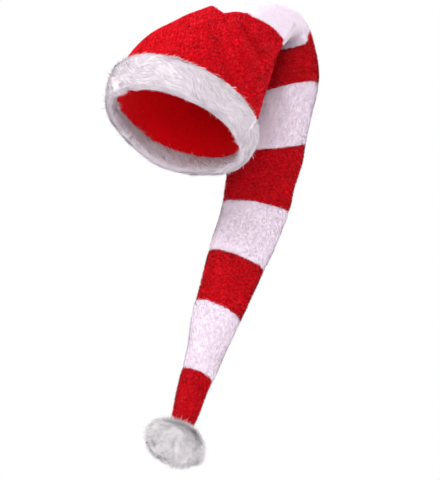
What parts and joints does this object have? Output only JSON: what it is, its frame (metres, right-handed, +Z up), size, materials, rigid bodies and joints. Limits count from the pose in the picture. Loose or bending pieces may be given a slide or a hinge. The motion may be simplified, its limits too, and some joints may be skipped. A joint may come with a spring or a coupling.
{
  "type": "elf hat",
  "caption": "Long plush elf hat with a red crown, a striped tail that hangs down behind, a white fur rim and a white fur pompom.",
  "frame": {"origin": "middle of the head opening, level with the rim", "axes": "+Z up, the way the crown rises from the head; -Y the front of the hat, +Y the side where the tail hangs; X across the head"},
  "size_m": [0.2291, 0.3671, 0.7541],
  "materials": {
    "red_plush": "short-pile red velour plush",
    "white_plush": "short-pile white velour plush",
    "white_fur": "long-pile white faux fur"
  },
  "bodies": {
    "root": {"crown": "red_plush", "stripe_1_white": "white_plush", "stripe_2_red": "red_plush", "stripe_3_white": "white_plush", "stripe_4_red": "red_plush", "stripe_5_white": "white_plush", "stripe_6_red": "red_plush", "stripe_7_white": "white_plush", "stripe_8_red": "red_plush", "fur_trim": "white_fur", "pompom": "white_fur"}
  },
  "joints": []
}
